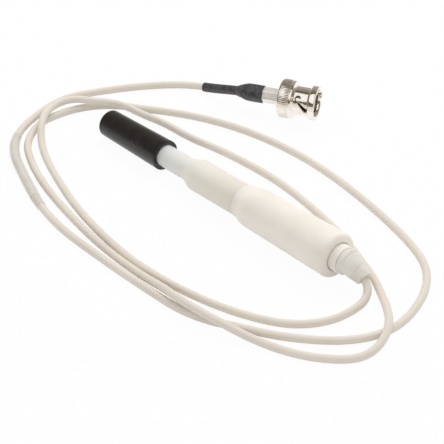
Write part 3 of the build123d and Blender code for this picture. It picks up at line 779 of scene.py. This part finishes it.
def six_flats(angles, corner_radius, corner_round):
    """The radius of a hexagon with flats on top: the flat's distance over the cosine of the angle
    from the flat's middle, held below the rounded corner."""
    off_flat = (angles + math.pi / 6) % (math.pi / 3) - math.pi / 6
    flat = corner_radius * math.cos(math.pi / 6)
    return np.minimum(flat / np.cos(off_flat), corner_radius - corner_round)


def over_the_crimp(stations, angles, radii):
    """The radius, pulled part of the way to the ferrule's hexagon where the sleeve lies on it, with
    uneven puckers on its cone: the product of a sine along the sleeve, shifted by a sine of the
    angle, and a sine of twice the angle."""
    tight = eased(stations, crimp_rear, crimp_front) * (radii > wide_outside)
    hexagon = six_flats(angles, crimp_corner_radius, crimp_corner_round)
    waves = np.sin(stations * pucker_rate + 2 * np.sin(angles + 1)) * np.sin(2 * angles + 0.7)
    cone = np.exp(-(((stations - pucker_station) / pucker_reach) ** 2)) * (radii > narrow_outside)
    return radii + crimp_pull * tight * (hexagon - radii) + pucker_height * waves * cone


shrink_rows = outline(
    [
        (shrink_rear, 0.00145, 0),
        (shrink_rear, 0.00182, 0.0001),
        (-0.0113, 0.00182, 0.003),
        (-0.0062, 0.00335, 0.002),
        (0, 0.00335, 0.0001),
        (0, 0.00318, 0),
        (-0.0057, 0.00318, 0),
        (shrink_bend_rear, 0.0015, 0),
    ],
    closed=True,
)
shrink = turned("shrink_sleeve", close_set(shrink_rows, 0.0003), shrink_axis, 96, over_the_crimp)
shrink_film = surface_paint(
    "dull_heat_shrink", linear(82, 80, 84), linear(52, 51, 55), 0.0012, 0.0004, 0.45, 0.00004
)
fit(shrink, shrink_film, "electrode", "heat_shrink", "heat_shrink_sleeve")

# Crimp ferrule: a copper tube under satin tin plate, pressed to a hexagon on the plug's stem.
plug_axis = straight(plug_place, plug_heading, plug_up)
ferrule_rear = -0.0056
ferrule_front = 0.0067
ferrule_edge_round = 0.00005
ferrule_outside = 0.0025


def pressed(stations, angles, radii):
    """The rows of the outside take the hexagon's radius, and the bore stays round."""
    hexagon = six_flats(angles, ferrule_corner_radius, ferrule_edge_round)
    return np.where(radii > ferrule_outside, radii / ferrule_corner_radius * hexagon, radii)


ferrule_rows = outline(
    [
        (ferrule_rear, 0.002, 0),
        (ferrule_rear, ferrule_corner_radius, 0.0001),
        (ferrule_front, ferrule_corner_radius, 0.0001),
        (ferrule_front, 0.002, 0),
    ],
    closed=True,
)
ferrule = turned("hex_ferrule", close_set(ferrule_rows, 0.0005), plug_axis, 120, pressed, sharp=25)
tin_pale, tin_deep = linear(255, 253, 249), linear(250, 247, 240)
tin = surface_paint("satin_tin_plate", tin_pale, tin_deep, 0.003, 0.0003, 0.12, 0.000001, 0.55)
fit(ferrule, tin, "electrode", "plated_metal", "crimp_ferrule")

# Plug: the nut, body, contact sleeve and rings are turned brass under bright nickel plate, round a
# turned plastic bush and a gold-plated pin. Each is a smoothed copy of its own solid, whose slots,
# knurls and channels are already true.
nickel_pale, nickel_deep = linear(250, 245, 238), linear(243, 236, 227)
nickel = surface_paint(
    "bright_nickel_plate", nickel_pale, nickel_deep, 0.003, 0.0003, 0.12, 0.000002, 1.0
)


def smoothed(node, name, paint, body, slot):
    """A copy of a solid's mesh with its loose triangles joined and its round faces shaded smooth."""
    mesh = bpy.data.meshes.new(name)
    form = bmesh.new()
    form.from_mesh(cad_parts[node].data)
    bmesh.ops.remove_doubles(form, verts=form.verts, dist=0.000001)
    form.to_mesh(mesh)
    form.free()
    mesh.shade_smooth()
    mesh.set_sharp_from_angle(angle=math.radians(28))
    piece = bpy.data.objects.new(name, mesh)
    bpy.context.scene.collection.objects.link(piece)
    fit(piece, paint, body, slot, node)
    return piece


nut = smoothed("coupling_nut", "bayonet_nut", nickel, "nut", "plated_metal")
nut_ring = smoothed("retaining_ring", "nut_snap_ring", nickel, "nut", "plated_metal")
nut_washer = smoothed("thrust_washer", "nut_flat_washer", nickel, "washer", "plated_metal")
nut_spring = smoothed("spring_washer", "nut_spring_washer", nickel, "electrode", "plated_metal")
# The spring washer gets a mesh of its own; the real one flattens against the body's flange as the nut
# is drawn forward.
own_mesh(nut_spring)
body = smoothed("plug_body", "plug_core", nickel, "electrode", "plated_metal")
contact = smoothed("outer_contact", "contact_sleeve", nickel, "electrode", "plated_metal")
insulator_plastic = surface_paint(
    "turned_insulator", linear(226, 206, 182), linear(214, 192, 166), 0.002, 0.0002, 0.45, 0.00001
)
insulator = smoothed(
    "plug_insulator", "insulator_bush", insulator_plastic, "electrode", "insulator_plastic"
)
gold = surface_paint(
    "gold_plate", linear(232, 196, 120), linear(214, 172, 96), 0.001, 0.0002, 0.2, 0.000002, 1.0
)
pin = smoothed("centre_pin", "contact_pin", gold, "electrode", "gold_contact")

# Inner pieces: none of them shows in the assembled electrode, and each keeps its own solid under the
# finish of its material.
grey_rubber = surface_paint(
    "grey_sealing_rubber", linear(190, 188, 184), linear(176, 173, 168), 0.003, 0.0003, 0.6, 0.00002
)
clear_glass = surface_paint(
    "blown_glass", linear(236, 242, 244), linear(228, 236, 240), 0.01, 0.002, 0.03, 0.000001
)
shader_of(clear_glass).inputs["Transmission Weight"].default_value = 0.95
shader_of(clear_glass).inputs["IOR"].default_value = 1.5
gel_clear = surface_paint(
    "clear_gel", linear(232, 234, 226), linear(224, 226, 216), 0.008, 0.002, 0.1, 0.00001
)
ceramic = surface_paint(
    "porous_ceramic", linear(238, 236, 230), linear(224, 221, 213), 0.0008, 0.0002, 0.8, 0.00004
)
silver = surface_paint(
    "drawn_silver", linear(226, 224, 220), linear(206, 203, 198), 0.002, 0.0002, 0.25, 0.000004, 1.0
)
inner_finishes = {
    "glass_tip": clear_glass,
    "junction_ring": ceramic,
    "reference_gel": gel_clear,
    "reference_wire": silver,
    "inner_wire": silver,
    "stem_seal": grey_rubber,
    "rear_plug": grey_rubber,
    "plug_gasket": grey_rubber,
    "cable_clamp": nickel,
    "signal_lead": jacket,
    "reference_lead": jacket,
    "cable_core": insulator_plastic,
}
for node, paint in inner_finishes.items():
    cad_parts[node].data.materials.clear()
    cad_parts[node].data.materials.append(paint)

# The pieces that sit along the lead, gathered in a list now that they exist.
on_the_lead = [boot, band, sleeve, shrink, ferrule]
on_the_lead += [nut, nut_ring, nut_washer, nut_spring, body, contact, insulator, pin]
on_the_lead += [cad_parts["plug_gasket"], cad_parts["cable_core"]]
